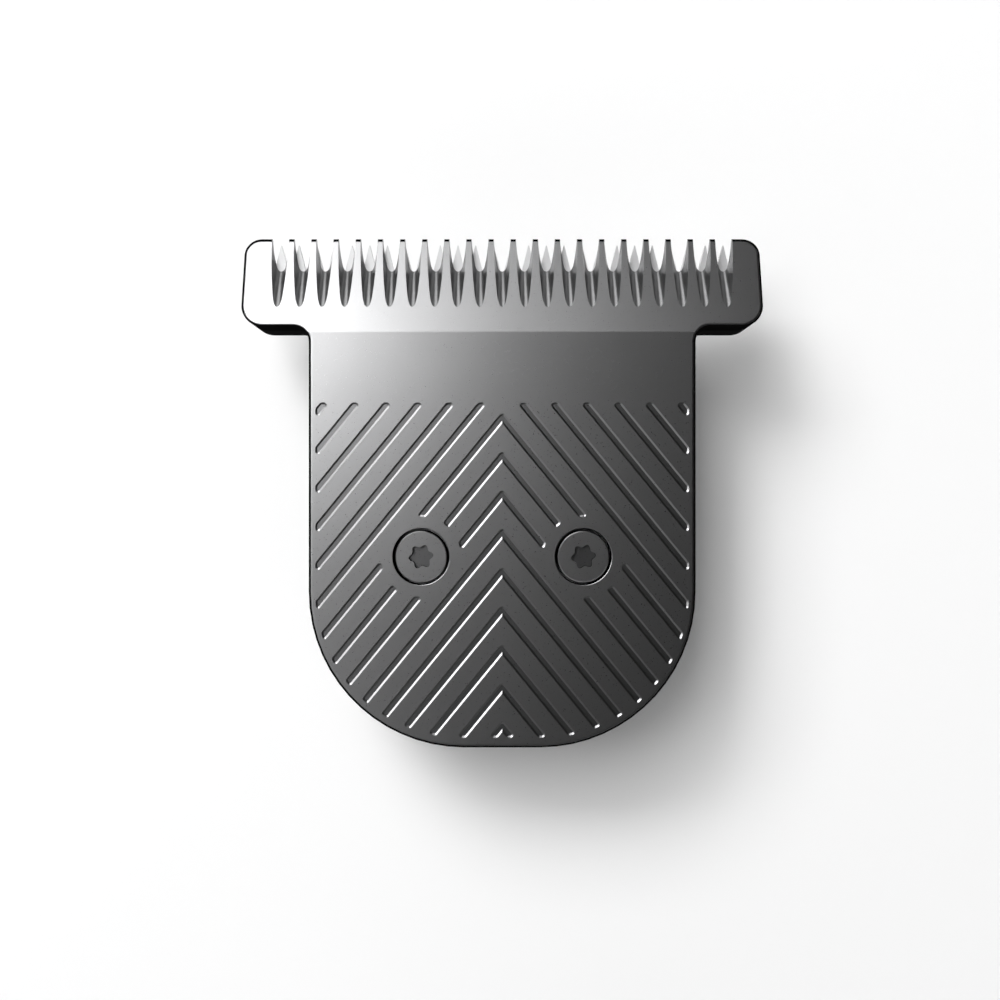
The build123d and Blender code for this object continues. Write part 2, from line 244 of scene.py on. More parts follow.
# Painted shade: a darker, unreflecting copy of the frame plastic for the frame's upright walls under the
# plate.
RIM_PLASTIC = replace(
    FRAME_PLASTIC, name="matt_black_rim", colour=(0.010, 0.010, 0.010), roughness=0.80, gloss=0.0)
CARRIER_PLASTIC = Finish(
    name="cream_sliding_plastic", colour=(0.640, 0.620, 0.560), roughness=0.42, metallic=0.0,
    grain_size=0.25 * MM, grain_height=0.002 * MM, grain_roughness=0.05,
    tone_size=5.0 * MM, tone_spread=0.03)


@cache
def solid_box(node: str) -> tuple[Vector, Vector]:
    """Gives the lowest and highest corners of a solid, read once."""
    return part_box(node)


def dressed(mesh: Mesh, name: str, node: str, body: Body, slot: str, *finishes: Finish) -> Object:
    """Puts a finished mesh in the scene in the place of a solid.

    Args:
        mesh: The finished mesh, with its place in its vertices.
        name: Name of the new piece.
        node: The solid that it stands for.
        body: The body that it rides on.
        slot: The record's material slot; not used.
        finishes: Its surfaces, in the order of the material numbers on its faces.

    Returns:
        The new piece.
    """
    piece = linked(name, mesh)
    mesh.materials.clear()
    for finish in finishes:
        mesh.materials.append(finish.material())
    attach(piece, body.value)
    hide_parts(node)
    return piece


def plain_mesh(maker: Object, name: str) -> Mesh:
    """Turns an object with modifiers into a plain mesh and removes the object.

    Args:
        maker: Object whose modifiers make the shape.
        name: Name of the new mesh.

    Returns:
        The plain mesh.
    """
    bpy.context.view_layer.update()
    graph = bpy.context.evaluated_depsgraph_get()
    mesh = bpy.data.meshes.new_from_object(maker.evaluated_get(graph), depsgraph=graph)
    mesh.name = name
    maker.modifiers.clear()
    bpy.data.objects.remove(maker)
    return mesh


def meshed(form: BMesh, name: str) -> Mesh:
    """Frees a finished form and returns it as a mesh."""
    mesh = bpy.data.meshes.new(name)
    form.to_mesh(mesh)
    form.free()
    return mesh


def level_flats(maker: Object) -> None:
    """Makes the large flat faces set the shading, so that only the eased edges turn it."""
    normals = maker.modifiers.new("flats", "WEIGHTED_NORMAL")
    normals.mode = "FACE_AREA"
    normals.keep_sharp = True


class ShapeTree(NodeGraph):
    """A Geometry Nodes tree with named inputs that makes one shape."""

    def __init__(self, name: str) -> None:
        """Starts an empty tree with its group input."""
        super().__init__(bpy.data.node_groups.new(name, "GeometryNodeTree"))
        self.source = self.tree.nodes.new("NodeGroupInput")
        for side in ("INPUT", "OUTPUT"):
            self.tree.interface.new_socket("Geometry", in_out=side, socket_type="NodeSocketGeometry")

    def size(self, name: str, kind: str = "NodeSocketFloat") -> NodeSocket:
        """Adds a named input to the tree and returns its socket."""
        self.tree.interface.new_socket(name, in_out="INPUT", socket_type=kind)
        return self.source.outputs[name]

    def by_index(self, kind: str, values: list[Any]) -> NodeSocket:
        """Picks a value for each point by its number.

        Args:
            kind: The values' data type.
            values: One value or source socket for each point, in order.

        Returns:
            The socket that gives the picked value.
        """
        switch = self.add("GeometryNodeIndexSwitch", data_type=kind)
        while len(switch.index_switch_items) < len(values):
            switch.index_switch_items.new()
        self.feed(switch.inputs["Index"], self.add("GeometryNodeInputIndex").outputs[0])
        for number, value in enumerate(values):
            self.feed(switch.inputs[1 + number], value)
        return switch.outputs[0]

    def line(self, places: NodeSocket, count: int) -> NodeSocket:
        """Draws a curve through places that are picked by index.

        Args:
            places: The place of each point.
            count: How many points there are.

        Returns:
            The socket of the curve.
        """
        points = self.add("GeometryNodeMeshLine", {"Count": count})
        placed = self.add("GeometryNodeSetPosition", {
            "Geometry": points.outputs["Mesh"], "Position": places})
        return self.add("GeometryNodeMeshToCurve", {
            "Mesh": placed.outputs["Geometry"]}).outputs["Curve"]

    def swept(self, path: NodeSocket, section: NodeSocket, scale: NodeSocket | None = None) -> NodeSocket:
        """Sweeps a section along a path and closes its ends.

        Args:
            path: Curve to follow.
            section: Curve of the section.
            scale: Size of the section at each point of the path.

        Returns:
            The socket of the swept mesh.
        """
        sweep = self.add("GeometryNodeCurveToMesh", {
            "Curve": path, "Profile Curve": section, "Fill Caps": True})
        if scale is not None:
            self.feed(sweep.inputs["Scale"], scale)
        return sweep.outputs["Mesh"]

    def turned(self, heights: list[Any], radii: list[Any], sides: int = 72) -> NodeSocket:
        """Turns a closed shape round the Z axis.

        Args:
            heights: Height of each ring, from the lowest up.
            radii: Radius of each ring.
            sides: How many sides draw a ring.

        Returns:
            The socket of the shape.
        """
        places = self.vector(z=self.by_index("FLOAT", heights))
        section = self.add("GeometryNodeCurvePrimitiveCircle", {"Resolution": sides, "Radius": 1.0})
        return self.swept(self.line(places, len(heights)), section.outputs["Curve"],
                          self.by_index("FLOAT", radii))

    def row(self, shape: NodeSocket, count: Any, pitch: Any, place: Any, turn: Any = 0.0) -> NodeSocket:
        """Sets a shape in an even row across the head, centred on its middle.

        Args:
            shape: The shape to repeat.
            count: How many.
            pitch: Distance between two.
            place: Place of the row along the head.
            turn: Turn of each shape about its own upright axis.

        Returns:
            The socket of the row.
        """
        ends = self.maths("MULTIPLY", self.maths("SUBTRACT", count, 1.0), -0.5)
        start = self.vector(self.maths("MULTIPLY", ends, pitch), place)
        spots = self.add("GeometryNodeMeshLine", {
            "Count": count, "Start Location": start, "Offset": self.vector(pitch)})
        placed = self.add("GeometryNodeInstanceOnPoints", {
            "Points": spots.outputs["Mesh"], "Instance": shape, "Rotation": self.vector(z=turn)})
        return self.add("GeometryNodeRealizeInstances", {
            "Geometry": placed.outputs["Instances"]}).outputs["Geometry"]

    def cut(self, shape: NodeSocket, *tools: NodeSocket) -> NodeSocket:
        """Cuts tools out of a shape.

        Args:
            shape: The shape to cut.
            tools: What is taken away.

        Returns:
            The socket of what is left.
        """
        taken = self.add("GeometryNodeMeshBoolean", {"Mesh 1": shape}, operation="DIFFERENCE", solver="EXACT")
        for tool in tools:
            self.feed(taken.inputs["Mesh 2"], tool)
        return taken.outputs["Mesh"]

    def close(self, shape: NodeSocket) -> None:
        """Ends the tree in plain geometry with its sharp edges marked and its material set.

        Args:
            shape: The finished shape.
        """
        real = self.add("GeometryNodeRealizeInstances", {"Geometry": shape})
        smooth = self.add("GeometryNodeSetShadeSmooth", {
            "Geometry": real.outputs["Geometry"], "Shade Smooth": True}, domain="FACE")
        turn = self.add("GeometryNodeInputMeshEdgeAngle").outputs["Unsigned Angle"]
        sharp = self.maths("GREATER_THAN", turn, self.size("Sharp Angle"))
        marked = self.add("GeometryNodeSetShadeSmooth", {
            "Geometry": smooth.outputs["Geometry"], "Selection": sharp, "Shade Smooth": False},
            domain="EDGE")
        painted = self.add("GeometryNodeSetMaterial", {
            "Geometry": marked.outputs["Geometry"], "Material": self.size("Finish", "NodeSocketMaterial")})
        self.add("NodeGroupOutput", {"Geometry": painted.outputs["Geometry"]})

    def make(self, sizes: dict[str, Any], start: Mesh | None = None) -> Mesh:
        """Runs the tree and returns its shape as a plain mesh.

        Args:
            sizes: A value for each named input.
            start: Mesh that the tree works on, where it needs one.

        Returns:
            The plain mesh.
        """
        name = self.tree.name
        maker = linked(name + "_maker", start or bpy.data.meshes.new(name))
        modifier = maker.modifiers.new("shape", "NODES")
        modifier.node_group = self.tree
        for item in self.tree.interface.items_tree:
            if item.in_out == "INPUT" and item.name in sizes:
                modifier[item.identifier] = sizes[item.name]
        level_flats(maker)
        return plain_mesh(maker, name)


@dataclass
class EdgedSolid:
    """A solid whose edges are eased, with its flats kept flat."""

    node: str
    merge_gap: float = 0.002 * MM
    flat_angle: float = math.radians(0.3)
    edge_angle: float = math.radians(30)
    segments: int = 3

    def build(self, edge: Edge, prepare: Callable[[BMesh], None] = lambda form: None) -> Mesh:
        """Eases the edges of a merged copy of the solid.

        Args:
            edge: Rounding of the edges.
            prepare: A change to the merged form before its edges are eased.

        Returns:
            The eased mesh.
        """
        form = self.merged()
        prepare(form)
        self.weigh(form)
        maker = linked(self.node + "_eased", meshed(form, self.node + "_merged"))
        bevel = maker.modifiers.new("ease", "BEVEL")
        bevel.limit_method = "WEIGHT"
        bevel.width = edge.value
        bevel.segments = self.segments
        bevel.use_clamp_overlap = False
        level_flats(maker)
        return plain_mesh(maker, self.node + "_eased")

    def merged(self) -> BMesh:
        """Copies the solid with its triangles joined and its flats in one piece.

        Returns:
            The merged form.
        """
        form = bmesh.new()
        form.from_mesh(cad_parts[self.node].data)
        bmesh.ops.remove_doubles(form, verts=form.verts, dist=self.merge_gap)
        bmesh.ops.dissolve_degenerate(form, edges=form.edges, dist=self.merge_gap)
        bmesh.ops.dissolve_limit(form, verts=form.verts, edges=form.edges, angle_limit=self.flat_angle)
        for face in form.faces:
            face.smooth = True
        return form

    def weigh(self, form: BMesh) -> None:
        """Marks the edges that get a rounding.

        Args:
            form: The merged form.
        """
        form.normal_update()
        layer = form.edges.layers.float.new("bevel_weight_edge")
        for line in form.edges:
            if len(line.link_faces) == 2 and line.calc_face_angle() > self.edge_angle:
                line[layer] = 1.0


@dataclass(frozen=True)
class Corner:
    """A corner of an outline and the radius that rounds it."""

    x: float
    y: float
    radius: float = 0.0


@dataclass(frozen=True)
class Outline:
    """A closed outline with rounded corners, drawn anticlockwise."""

    corners: tuple[Corner, ...]
    step: float = math.radians(6)

    def turns(self) -> list[tuple[Corner, Vector, Vector, float]]:
        """Finds how the outline turns at its corners.

        Returns:
            Each corner with the headings into and out of it and its turn to the left.
        """
        found = []
        count = len(self.corners)
        for number, corner in enumerate(self.corners):
            spots = [Vector((item.x, item.y)) for item in (
                self.corners[number - 1], corner, self.corners[(number + 1) % count])]
            into = (spots[1] - spots[0]).normalized()
            away = (spots[2] - spots[1]).normalized()
            found.append((corner, into, away, math.atan2(into.cross(away), into.dot(away))))
        return found

    def arcs(self) -> list[tuple[Vector, float, Vector, float]]:
        """Finds the arcs that round the corners.

        Returns:
            The centre, signed radius, first outward heading and turn of each arc.
        """
        found = []
        for corner, into, away, turn in self.turns():
            radius = math.copysign(corner.radius, turn)
            first = Vector((into.y, -into.x))
            start = Vector((corner.x, corner.y)) - into * abs(radius * math.tan(turn / 2))
            found.append((start - first * radius, radius, first, turn))
        return found

    def points(self) -> list[tuple[Vector, Vector]]:
        """Draws the outline.

        Returns:
            Its points, each with the move that takes its sides outward by one.
        """
        drawn = []
        for (corner, into, away, turn), (centre, radius, first, _) in zip(self.turns(), self.arcs()):
            if corner.radius == 0:
                outward = Vector((into.y + away.y, -into.x - away.x))
                drawn.append((Vector((corner.x, corner.y)), outward / (1 + into.dot(away))))
                continue
            pieces = max(2, math.ceil(abs(turn) / self.step))
            for piece in range(pieces + 1):
                outward = Matrix.Rotation(turn * piece / pieces, 2) @ first
                drawn.append((centre + outward * radius, outward))
        return drawn


def lofted(form: BMesh, rim: list[tuple[Vector, Vector]], levels: list[tuple[float, float]]) -> None:
    """Adds a closed solid whose rings follow an outline.

    Args:
        form: Where the solid goes.
        rim: Points of the outline, each with its move outward by one.
        levels: Outward move and height of each ring, from the lowest up.
    """
    rings = [[form.verts.new((*(spot + outward * move), height)) for spot, outward in rim]
             for move, height in levels]
    form.faces.new(reversed(rings[0]))
    form.faces.new(rings[-1])
    for lower, upper in zip(rings, rings[1:]):
        for number in range(len(rim)):
            form.faces.new((lower[number - 1], lower[number], upper[number], upper[number - 1]))


@dataclass
class FixedBlade:
    """The comb plate: blasted dark steel with ground teeth, grip grooves and sides painted black as shade."""

    node: str = "comb_plate"
    slot: str = "comb_steel"
    body_half: float = 14.55 * MM
    bar_depth: float = 7.02 * MM
    ear_front_radius: float = 1.3 * MM
    ear_rear_radius: float = 1.75 * MM
    neck_radius: float = 1.15 * MM
    tail_radius: float = 11.7 * MM
    rim_round: float = 0.31 * MM
    rim_steps: int = 8
    tip_thickness: float = 0.3 * MM
    crease_reach: float = 7.41 * MM
    crease_half: float = 0.1 * MM
    tooth_pitch: float = 1.70 * MM
    tooth_tip_width: float = 0.36 * MM
    tooth_gaps: int = 21
    gap_depth: float = 1.75 * MM
    gap_bottom: float = 0.40 * MM
    gap_reach: float = 2.48 * MM        # tips to the end of the open slot
    gap_runout: float = 5.5 * MM        # tips to where the trough runs out on the band
    groove_depth: float = 0.09 * MM     # in the solid, where the floors are found
    groove_sink: float = 0.055 * MM     # as drawn
    groove_wall: float = 0.14 * MM
    groove_corner: float = 0.13 * MM
    groove_step: float = math.radians(10)
    corner_angle: float = math.radians(18)
    corner_room: float = 0.45           # share of a side that one rounding may take
    apex_step: float = 0.025 * MM
    hole_radius: float = 2.14 * MM
    pilot_radius: float = 1.12 * MM
    mouth_ease: float = 0.03 * MM
    mouth_drop: float = 0.012 * MM
    screw_seat: float = 1.54 * MM
    relief_half: float = 10.55 * MM
    relief_front: float = 5.2 * MM
    relief_length: float = 8.0 * MM
    relief_depth: float = 0.2 * MM
    side_lean: float = 0.90
    tip_lean: float = 0.5
    sharp_angle: float = math.radians(12)
    cut_gap: float = 1e-6 * MM
    near: float = 0.01 * MM

    def outline(self) -> Outline:
        """Draws the T outline of the plate.

        Returns:
            The outline.
        """
        low, high = solid_box(self.node)
        rear = high.y - self.bar_depth
        right = [Corner(self.body_half, low.y, self.tail_radius),
                 Corner(self.body_half, rear, self.neck_radius),
                 Corner(high.x, rear, self.ear_rear_radius),
                 Corner(high.x, high.y, self.ear_front_radius)]
        left = [Corner(-corner.x, corner.y, corner.radius) for corner in reversed(right)]
        return Outline((*right, *left))

    def slope(self) -> float:
        """Gives the fall of the toothed band for each unit towards the tips."""
        low, high = solid_box(self.node)
        return (high.z - low.z - self.tip_thickness) / self.crease_reach

    def fall(self, y: float) -> float:
        """Finds how far the plate's upper side lies below its top.

        Args:
            y: A place along the head.

        Returns:
            The fall at that place.
        """
        past = y - (solid_box(self.node)[1].y - self.crease_reach)
        if past > self.crease_half:
            return self.slope() * past
        return self.slope() * max(past + self.crease_half, 0.0) ** 2 / (4 * self.crease_half)

    def blank(self) -> Mesh:
        """Builds the plate before any cut, with its rim rounded and its toothed band sloped.

        Returns:
            The blank as a mesh.
        """
        low, high = solid_box(self.node)
        form = bmesh.new()
        turns = [math.pi / 2 * step / self.rim_steps for step in range(self.rim_steps + 1)]
        levels = [(0.0, low.z)]
        levels += [(self.rim_round * (math.cos(turn) - 1), high.z + self.rim_round * (math.sin(turn) - 1))
                   for turn in turns]
        lofted(form, self.outline().points(), levels)
        crease = high.y - self.crease_reach
        for share in (-1.0, -0.5, 0.0, 0.5, 1.0):
            bmesh.ops.bisect_plane(
                form, geom=[*form.verts, *form.edges, *form.faces], dist=self.cut_gap,
                plane_co=(0, crease + share * self.crease_half, 0), plane_no=(0, 1, 0))
        for vertex in form.verts:
            if vertex.co.z > low.z + self.near:
                vertex.co.z -= self.fall(vertex.co.y)
        return meshed(form, "plate_blank")

    def gap_section(self, steps: int = 14) -> list[tuple[float, float]]:
        """Draws a trough's section: a round bottom that flows into two flatter side arcs.

        Args:
            steps: Points on each half of each arc.

        Returns:
            Places across and up, from the left edge to the right.
        """
        half = (self.tooth_pitch - self.tooth_tip_width) / 2
        rise = self.gap_depth - self.gap_bottom
        side = (half ** 2 + rise ** 2 - self.gap_bottom ** 2) / (2 * (half - self.gap_bottom))
        meet = math.atan2(rise, side - half)
        bottom = [(self.gap_bottom * math.sin(turn), self.gap_bottom * (1 - math.cos(turn)))
                  for turn in [(math.pi / 2 - meet) * step / steps for step in range(steps)]]
        wall = [(half - side + side * math.cos(turn), self.gap_depth - side * math.sin(turn))
                for turn in [meet * (1 - step / steps) for step in range(steps + 1)]]
        right = [*bottom, *wall, (half, 2 * self.gap_depth)]
        return [(-across, up) for across, up in reversed(right[1:])] + right

    def gap_tool(self) -> Object:
        """Builds the prism that grinds the middle trough.

        Returns:
            The prism, as a loose object that a tree can read.
        """
        low, high = solid_box(self.node)
        drop = (self.tip_thickness + self.slope() * self.gap_runout) / (self.gap_runout - self.gap_reach)
        along = Vector((0, 1, -drop)).normalized()
        upward = Vector((0, drop, 1)).normalized()
        foot = Vector((0, high.y - self.gap_reach, low.z))
        form = bmesh.new()
        rings = [[form.verts.new(foot + along * reach + upward * up + Vector((across, 0, 0)))
                  for across, up in self.gap_section()]
                 for reach in (-self.gap_runout, self.gap_runout)]
        form.faces.new(rings[0])
        form.faces.new(reversed(rings[1]))
        for number in range(len(rings[0])):
            form.faces.new((rings[0][number], rings[0][number - 1], rings[1][number - 1], rings[1][number]))
        bmesh.ops.recalc_face_normals(form, faces=form.faces)
        return bpy.data.objects.new("gap_tool", meshed(form, "gap_tool"))

    def groove_tool(self) -> Object:
        """Builds the tools of all the grip grooves on the grooves' floors in the solid.

        Returns:
            The tools in one loose object.
        """
        top = solid_box(self.node)[1].z
        solid = EdgedSolid(self.node).merged()
        solid.normal_update()
        levels = [(self.groove_wall * (1 + share), top + self.groove_sink * share) for share in (-1.0, 0.5)]
        form = bmesh.new()
        for face in solid.faces:
            height = face.calc_center_median().z
            if face.normal.z > LEVEL and abs(height - top + self.groove_depth) < self.near:
                lofted(form, self.groove_outline(face).points(), levels)
        solid.free()
        return bpy.data.objects.new("groove_tool", meshed(form, "groove_tool"))

    def groove_outline(self, floor: BMFace) -> Outline:
        """Draws the outline of a groove's floor with its outer corners rounded and its apex sharp.

        Args:
            floor: The floor of the groove in the solid.

        Returns:
            The outline.
        """
        spots = [vertex.co.xy for vertex in floor.verts]
        sides = [side for side in zip(spots, spots[1:] + spots[:1])
                 if (side[1] - side[0]).length > self.apex_step]
        meets = []
        for before, after in zip(sides[-1:] + sides[:-1], sides):
            ahead, beyond = before[1] - before[0], after[1] - after[0]
            reach = (after[0] - before[1]).cross(beyond) / ahead.cross(beyond)
            meets.append(before[1] + ahead * reach)
        sharp = Outline(tuple(Corner(*meet) for meet in meets))
        corners = []
        for number, (corner, _, _, turn) in enumerate(sharp.turns()):
            spot = Vector((corner.x, corner.y))
            room = min((spot - Vector((other.x, other.y))).length for other in (
                sharp.corners[number - 1], sharp.corners[(number + 1) % len(sharp.corners)]))
            radius = 0.0
            if turn > self.corner_angle:
                radius = min(self.groove_corner, self.corner_room * room / math.tan(turn / 2))
            corners.append(Corner(corner.x, corner.y, radius))
        return Outline(tuple(corners), self.groove_step)

    def tree(self) -> ShapeTree:
        """Builds the tree that grinds the row of gaps and cuts the grooves, holes and hollow.

        Returns:
            The finished tree.
        """
        tree = ShapeTree("comb_plate_cuts")
        gap, grooves = [
            tree.add("GeometryNodeObjectInfo", {"Object": tree.size(name, "NodeSocketObject")})
            for name in ("Gap Tool", "Groove Tool")]
        gaps = tree.row(gap.outputs["Geometry"], tree.size("Gap Count", "NodeSocketInt"),
                        tree.size("Gap Pitch"), 0.0)
        wide, narrow = tree.size("Hole Radius"), tree.size("Pilot Radius")
        seat, deep, mouth = [tree.size(name) for name in ("Seat Height", "Hole Bottom", "Mouth Height")]
        flare, above = tree.size("Flare Radius"), tree.size("Flare Height")
        hole = tree.turned([deep, seat, tree.maths("ADD", seat, STEP), mouth, above],
                           [narrow, narrow, wide, wide, flare])
        holes = tree.row(hole, 2, tree.size("Screw Spacing"), tree.size("Screw Row"))
        hollow = tree.add("GeometryNodeMeshCube", {"Size": tree.size("Hollow Size", "NodeSocketVector")})
        placed = tree.add("GeometryNodeTransform", {
            "Geometry": hollow.outputs["Mesh"],
            "Translation": tree.size("Hollow Place", "NodeSocketVector")})
        tree.close(tree.cut(tree.source.outputs["Geometry"], gaps, grooves.outputs["Geometry"], holes,
                            placed.outputs["Geometry"]))
        return tree

    def skin(self, face: MeshPolygon) -> Skin:
        """Picks the finish of a face: plain steel on the flats, painted shade on the groove floors, troughs,
        tooth tips and sides.

        Args:
            face: A face of the finished plate.

        Returns:
            The number of its finish.
        """
        high = solid_box(self.node)[1]
        if abs(face.normal.z) > self.side_lean:
            sunk = face.normal.z > LEVEL and abs(face.center.z - high.z + self.groove_sink) < self.near
            return Skin.GROOVE if sunk else Skin.TOP
        toothed = abs(face.center.x) < self.tooth_pitch * self.tooth_gaps / 2
        if toothed and face.center.y > high.y - self.gap_runout:
            at_tip = face.center.y > high.y - self.rim_round and face.normal.y > self.tip_lean
            return Skin.SIDE if at_tip else Skin.GAP
        return Skin.SIDE

    def build(self) -> Object:
        """Builds the plate in the place of its solid.

        Returns:
            The plate.
        """
        low, high = solid_box(self.node)
        screw_low, screw_high = solid_box(ScrewPair.node)
        hollow_front = high.y - self.relief_front
        mesh = self.tree().make({
            "Gap Tool": self.gap_tool(), "Groove Tool": self.groove_tool(),
            "Gap Count": self.tooth_gaps, "Gap Pitch": self.tooth_pitch,
            "Hole Radius": self.hole_radius, "Pilot Radius": self.pilot_radius,
            "Seat Height": high.z - self.screw_seat, "Hole Bottom": low.z - self.rim_round,
            "Mouth Height": high.z - self.mouth_drop, "Flare Height": high.z + self.mouth_drop,
            "Flare Radius": self.hole_radius + 2 * self.mouth_ease,
            "Screw Spacing": 2 * screw_high.x - (screw_high.y - screw_low.y),
            "Screw Row": (screw_low.y + screw_high.y) / 2,
            "Hollow Size": (2 * self.relief_half, self.relief_length, 2 * self.relief_depth),
            "Hollow Place": (0.0, hollow_front - self.relief_length / 2, low.z),
            "Sharp Angle": self.sharp_angle}, self.blank())
        piece = dressed(mesh, "fixed_blade", self.node, Body.HEAD, self.slot,
                        COMB_STEEL, PAINTED_SHADE_SIDE, COMB_GROOVE, COMB_GAP)
        for face in mesh.polygons:
            face.material_index = self.skin(face)
        return piece


@dataclass
class MovingBlade:
    """The cutter and the plastic slide that carries it."""

    cutter_node: str = "cutter_blade"
    cutter_slot: str = "cutter_steel"
    carrier_node: str = "cutter_carrier"
    carrier_slot: str = "carrier_plastic"

    def build(self) -> list[Object]:
        """Builds the cutter and its slide in the place of their solids.

        Returns:
            The cutter and the slide.
        """
        cutter = EdgedSolid(self.cutter_node).build(Edge.GROUND)
        carrier = EdgedSolid(self.carrier_node).build(Edge.MOULDED)
        return [
            dressed(cutter, "moving_blade", self.cutter_node, Body.CUTTER, self.cutter_slot, CUTTER_STEEL),
            dressed(carrier, "slide", self.carrier_node, Body.CUTTER, self.carrier_slot, CARRIER_PLASTIC)]


@dataclass
class Seat:
    """The black plastic frame that the blades are screwed to."""

    node: str = "base_frame"
    slot: str = "frame_plastic"
    rim_bottom: float = 4.1 * MM
    rim_lean: float = 0.8
    cuts: int = 4
    facing_slack: float = 0.01
    radius_digits: int = 6
    near: float = 0.004 * MM

    def draw_arcs_finer(self, form: BMesh) -> None:
        """Draws the round corners under the plate's outline, and those that follow them, finer.

        Args:
            form: The merged frame.
        """
        for centre, radius, first, turn in FixedBlade().outline().arcs():
            middle = Matrix.Rotation(turn / 2, 2) @ first * math.copysign(1.0, turn)
            least = math.cos(turn / 2) - self.facing_slack
            chords = []
            radii = set()
            for line in form.edges:
                ends = [vertex.co.xy - centre for vertex in line.verts]
                level = abs(line.verts[0].co.z - line.verts[1].co.z) < self.near
                even = abs(ends[0].length - ends[1].length) < self.near
                facing = all(end.normalized().dot(middle) > least for end in ends)
                if level and even and facing and self.near < (ends[0] - ends[1]).length < abs(radius):
                    chords.append(line)
                    radii.add(round(ends[0].length, self.radius_digits))
            made = bmesh.ops.subdivide_edges(form, edges=chords, cuts=self.cuts)
            for item in made["geom_inner"]:
                if isinstance(item, BMVert):
                    spoke = item.co.xy - centre
                    reach = min(radii, key=lambda value: abs(value - spoke.length))
                    item.co.xy = centre + spoke.normalized() * reach
        for face in form.faces:
            face.smooth = True

    def build(self) -> Object:
        """Builds the frame in the place of its solid.

        Returns:
            The frame.
        """
        mesh = EdgedSolid(self.node).build(Edge.MOULDED, self.draw_arcs_finer)
        piece = dressed(mesh, "seat", self.node, Body.HEAD, self.slot, FRAME_PLASTIC, RIM_PLASTIC)
        # Painted shade: the frame's upright walls above the rim's foot, seen under the plate's ears, get the
        # darker, unreflecting rim plastic.
        for face in mesh.polygons:
            upright = abs(face.normal.z) < self.rim_lean
            face.material_index = int(upright and face.center.z > self.rim_bottom)
        return piece


@dataclass
class ScrewPair:
    """The two cheese-head screws with a six-lobe drive, flush in the plate."""

    node: str = "plate_screws"
    slot: str = "screw_steel"
    shank_radius: float = 1.0 * MM
    head_height: float = 1.5 * MM
    head_edge: float = 0.08 * MM
    drive_outer: float = 1.86 * MM
    drive_inner: float = 1.40 * MM
    drive_depth: float = 0.5 * MM
    drive_turn: float = math.radians(8)
    lobes: int = 6
    drive_points: int = 120
    sharp_angle: float = math.radians(50)
    wall_lean: float = 0.3
    near: float = 0.01 * MM

    def tree(self) -> ShapeTree:
        """Builds the tree that turns one screw, cuts its drive and sets it twice.

        Returns:
            The finished tree.
        """
        tree = ShapeTree("screw_pair")
        shank, head, edge = [tree.size(name) for name in ("Shank Radius", "Head Radius", "Head Edge")]
        end, seat, top = [tree.size(name) for name in ("End Height", "Seat Height", "Top Height")]
        ease = tree.maths("MULTIPLY", edge, 1 - math.sqrt(0.5))
        turned = tree.turned(
            [end, seat, tree.maths("ADD", seat, STEP), tree.maths("SUBTRACT", top, edge),
             tree.maths("SUBTRACT", top, ease), top],
            [shank, shank, head, head, tree.maths("SUBTRACT", head, ease),
             tree.maths("SUBTRACT", head, edge)])
        screw = tree.cut(turned, self.drive(tree, top))
        tree.close(tree.row(screw, 2, tree.size("Spacing"), tree.size("Row Place"), tree.size("Drive Turn")))
        return tree

    def drive(self, tree: ShapeTree, top: NodeSocket) -> NodeSocket:
        """Makes the prism of the six-lobe drive.

        Args:
            tree: Tree that it goes into.
            top: Height of the head's upper face.

        Returns:
            The socket of the prism.
        """
        circle = tree.add("GeometryNodeCurvePrimitiveCircle", {
            "Resolution": self.drive_points, "Radius": 1.0})
        around = tree.add("GeometryNodeSplineParameter").outputs["Factor"]
        angle = tree.maths("MULTIPLY", around, 2 * math.pi * self.lobes)
        wave = tree.maths("MULTIPLY", tree.maths("COSINE", angle), tree.size("Drive Wave"))
        reach = tree.maths("ADD", tree.size("Drive Radius"), wave)
        spot = tree.add("GeometryNodeInputPosition").outputs[0]
        lobed = tree.add("ShaderNodeVectorMath", {0: spot, "Scale": reach}, operation="SCALE")
        section = tree.add("GeometryNodeSetPosition", {
            "Geometry": circle.outputs["Curve"], "Position": lobed.outputs[0]})
        depth = tree.size("Drive Depth")
        path = tree.add("GeometryNodeCurvePrimitiveLine", {
            "Start": tree.vector(z=tree.maths("SUBTRACT", top, depth)),
            "End": tree.vector(z=tree.maths("ADD", top, depth))})
        return tree.swept(path.outputs["Curve"], section.outputs["Geometry"])

    def build(self) -> Object:
        """Builds the screws in the place of their solids.

        Returns:
            The piece that holds both screws.
        """
        low, high = solid_box(self.node)
        head_radius = (high.y - low.y) / 2
        mesh = self.tree().make({
            "Shank Radius": self.shank_radius, "Head Radius": head_radius, "Head Edge": self.head_edge,
            "End Height": low.z, "Seat Height": high.z - self.head_height, "Top Height": high.z,
            "Spacing": 2 * (high.x - head_radius), "Row Place": (low.y + high.y) / 2,
            "Drive Turn": self.drive_turn, "Drive Depth": self.drive_depth,
            "Drive Wave": (self.drive_outer - self.drive_inner) / 4,
            "Drive Radius": (self.drive_outer + self.drive_inner) / 4,
            "Sharp Angle": self.sharp_angle})
        piece = dressed(mesh, "screws", self.node, Body.HEAD, self.slot, SCREW_STEEL, PAINTED_SHADE_SIDE, COMB_GROOVE)
        # Painted shade: the screws' upright walls, the drive's among them, get the near-black side finish,
        # and the drive's floor the darker groove steel.
        floor = high.z - self.drive_depth
        for face in mesh.polygons:
            if abs(face.normal.z) < self.wall_lean:
                face.material_index = Skin.SIDE
            elif face.normal.z > 0 and abs(face.center.z - floor) < self.near:
                face.material_index = Skin.GROOVE
        return piece


